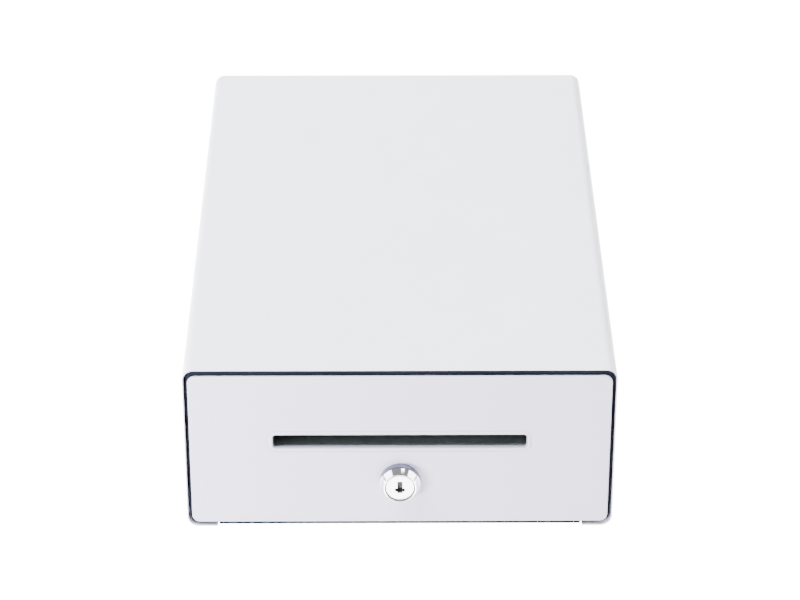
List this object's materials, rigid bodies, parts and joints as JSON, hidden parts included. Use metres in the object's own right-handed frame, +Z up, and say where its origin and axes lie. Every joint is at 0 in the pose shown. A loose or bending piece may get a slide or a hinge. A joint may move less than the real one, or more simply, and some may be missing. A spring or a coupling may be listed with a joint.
{
  "type": "cash drawer",
  "caption": "Compact white steel cash drawer on ball slides, with a front slip slot, key lock and release lever, solenoid latch, sprung bill clips and lift-out coin cups.",
  "frame": {"origin": "middle of the footprint at the underside of the feet", "axes": "+Z up, -Y out of the front (the way the drawer opens), +X to the right seen from the front"},
  "size_m": [0.24, 0.3836, 0.106],
  "materials": {
    "housing_white": "satin powder coat",
    "panel_white": "satin powder coat",
    "tray_slate": "satin dark slate powder coat",
    "zinc_plate": "zinc plated",
    "rail_zinc": "zinc plated, rolled",
    "bright_steel": "bright steel",
    "lock_chrome": "polished chrome",
    "plug_steel": "satin nickel",
    "black_plastic": "moulded, fine texture",
    "slate_plastic": "moulded, satin",
    "till_plastic": "moulded, fine texture",
    "cup_plastic": "moulded, fine texture",
    "clip_plastic": "moulded, satin",
    "foot_rubber": "matt",
    "lead_rubber": "matt",
    "coil_tape": "varnished winding tape"
  },
  "bodies": {
    "housing": {"housing_shell": "housing_white", "rear_panel": "housing_white", "base_plate": "zinc_plate", "signal_socket": "black_plastic", "latch_bracket": "zinc_plate", "latch_pin": "bright_steel", "solenoid_frame": "zinc_plate", "solenoid_coil": "coil_tape", "plunger_spring": "bright_steel", "coil_lead": "lead_rubber", "ejector_bracket": "zinc_plate", "ejector_spring": "bright_steel", "switch_body": "black_plastic", "foot_front_left": "foot_rubber", "foot_rear_left": "foot_rubber", "rail_outer_left": "rail_zinc", "foot_front_right": "foot_rubber", "foot_rear_right": "foot_rubber", "rail_outer_right": "rail_zinc"},
    "drawer": {"drawer_tray": "tray_slate", "front_panel": "panel_white", "panel_backing": "slate_plastic", "slip_chute": "slate_plastic", "panel_screw_1": "bright_steel", "panel_screw_2": "bright_steel", "panel_screw_3": "bright_steel", "panel_screw_4": "bright_steel", "striker_bracket": "zinc_plate", "striker_pin": "bright_steel", "lock_body": "lock_chrome", "lock_nut": "zinc_plate", "lever_pivot": "bright_steel", "rail_inner_left": "rail_zinc", "rail_inner_right": "rail_zinc", "till_insert": "till_plastic", "coin_cup_1": "cup_plastic", "coin_cup_2": "cup_plastic", "coin_cup_3": "cup_plastic", "coin_cup_4": "cup_plastic", "clip_pin_1": "bright_steel", "clip_pin_2": "bright_steel", "clip_pin_3": "bright_steel"},
    "ball_cages": {"ball_cage_left": "rail_zinc", "ball_cage_right": "rail_zinc"},
    "lock_plug_body": {"lock_plug": "plug_steel", "lock_cam": "zinc_plate", "cam_screw": "bright_steel"},
    "release_lever_body": {"release_lever": "zinc_plate"},
    "latch_hook_body": {"latch_hook": "bright_steel"},
    "plunger_body": {"solenoid_plunger": "bright_steel"},
    "ejector_body": {"ejector_plunger": "black_plastic"},
    "switch_lever_body": {"switch_lever": "bright_steel"},
    "bill_clip_body_1": {"bill_clip_1": "clip_plastic"},
    "bill_clip_body_2": {"bill_clip_2": "clip_plastic"},
    "bill_clip_body_3": {"bill_clip_3": "clip_plastic"}
  },
  "joints": [
    {"name": "drawer_slide", "type": "slide", "parent": "housing", "child": "drawer", "axis": [0, -1, 0], "range_m": [0, 0.26]},
    {"name": "ball_cage_slide", "type": "slide", "parent": "housing", "child": "ball_cages", "axis": [0, -1, 0], "range_m": [0, 0.13]},
    {"name": "lock_turn", "type": "hinge", "parent": "drawer", "child": "lock_plug_body", "pos_m": [0, -0.18325, 0.0337], "axis": [0, -1, 0], "range_deg": [-90, 90]},
    {"name": "release_lever_swing", "type": "hinge", "parent": "drawer", "child": "release_lever_body", "pos_m": [0, 0, 0.00775], "axis": [0, 0, 1], "range_deg": [-3.4, 3.4]},
    {"name": "latch_hook_turn", "type": "hinge", "parent": "housing", "child": "latch_hook_body", "pos_m": [-0.014, 0.158, 0.018], "axis": [0, 0, 1], "range_deg": [0, 14]},
    {"name": "plunger_slide", "type": "slide", "parent": "housing", "child": "plunger_body", "axis": [1, 0, 0], "range_m": [0, 0.00605]},
    {"name": "ejector_push", "type": "slide", "parent": "housing", "child": "ejector_body", "axis": [0, -1, 0], "range_m": [0, 0.025]},
    {"name": "switch_lever_swing", "type": "hinge", "parent": "housing", "child": "switch_lever_body", "pos_m": [0.068, 0.1164, 0.022], "axis": [0, 0, -1], "range_deg": [0, 9]},
    {"name": "bill_clip_lift_1", "type": "hinge", "parent": "drawer", "child": "bill_clip_body_1", "pos_m": [-0.07113, 0.1, 0.084], "axis": [-1, 0, 0], "range_deg": [0, 44], "stiffness_Nm_per_rad": 0.05, "springref_deg": -20.05},
    {"name": "bill_clip_lift_2", "type": "hinge", "parent": "drawer", "child": "bill_clip_body_2", "pos_m": [0, 0.1, 0.084], "axis": [-1, 0, 0], "range_deg": [0, 44], "stiffness_Nm_per_rad": 0.05, "springref_deg": -20.05},
    {"name": "bill_clip_lift_3", "type": "hinge", "parent": "drawer", "child": "bill_clip_body_3", "pos_m": [0.07113, 0.1, 0.084], "axis": [-1, 0, 0], "range_deg": [0, 44], "stiffness_Nm_per_rad": 0.05, "springref_deg": -20.05}
  ],
  "couplings": [
    {"joint": "ball_cage_slide", "follows": "drawer_slide", "ratio": 0.5},
    {"joint": "release_lever_swing", "follows": "lock_turn", "ratio": 0.0371},
    {"joint": "latch_hook_turn", "follows": "plunger_slide", "rad_per_m": 40.34},
    {"joint": "ejector_push", "follows": "drawer_slide", "ratio": 0.096},
    {"joint": "switch_lever_swing", "follows": "drawer_slide", "rad_per_m": 0.6}
  ]
}
